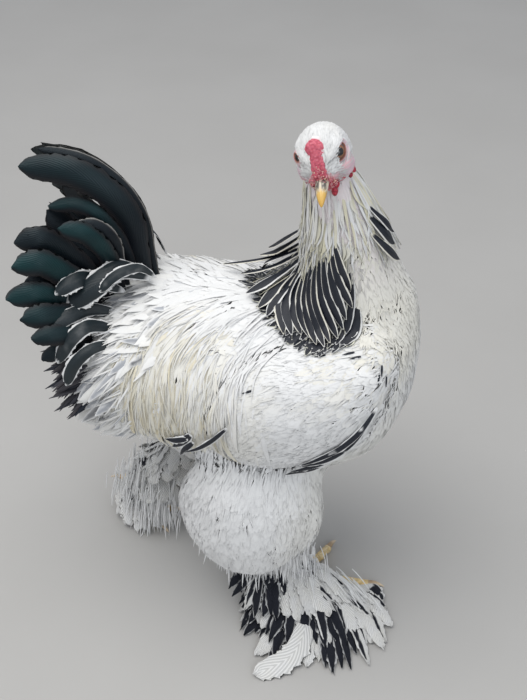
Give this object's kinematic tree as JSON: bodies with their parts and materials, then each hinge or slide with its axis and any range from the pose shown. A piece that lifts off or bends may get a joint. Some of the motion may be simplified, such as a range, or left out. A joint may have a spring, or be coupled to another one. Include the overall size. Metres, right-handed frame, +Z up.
{
  "type": "brahma chicken",
  "caption": "Life-size still model of a light Brahma cockerel in mid-step, head turned to its right, with feathered feet, pea comb and fanned dark tail.",
  "frame": {"origin": "centre of the floor box the bird stands in, at floor level", "axes": "+X the way the body heads, +Y the bird's left, +Z up"},
  "size_m": [0.4168, 0.303, 0.5986],
  "materials": {
    "plumage_white": "soft white and cream plumage",
    "plumage_hackle": "cream hackle with black centres laced white",
    "plumage_face": "short white face plumage",
    "plumage_tail": "black plumage with a green sheen",
    "scaled_skin": "yellow scaled skin",
    "horn": "yellow horn",
    "red_flesh": "red pebbled skin",
    "eye": "wet orange-brown iris with a dark pupil"
  },
  "bodies": {
    "root": {"torso": "plumage_white", "neck": "plumage_hackle", "head": "plumage_face", "wing_left": "plumage_white", "wing_right": "plumage_white", "tail": "plumage_tail", "thigh_left": "plumage_white", "thigh_right": "plumage_white", "shank_left": "plumage_white", "shank_right": "plumage_white", "foot_left": "scaled_skin", "foot_right": "scaled_skin", "bill_upper": "horn", "bill_lower": "horn", "comb": "red_flesh", "wattle_left": "red_flesh", "wattle_right": "red_flesh", "earlobe_left": "red_flesh", "earlobe_right": "red_flesh", "eye_left": "eye", "eye_right": "eye", "claw_middle_left": "horn", "claw_inner_left": "horn", "claw_outer_left": "horn", "claw_back_left": "horn", "claw_middle_right": "horn", "claw_inner_right": "horn", "claw_outer_right": "horn", "claw_back_right": "horn"}
  },
  "joints": []
}
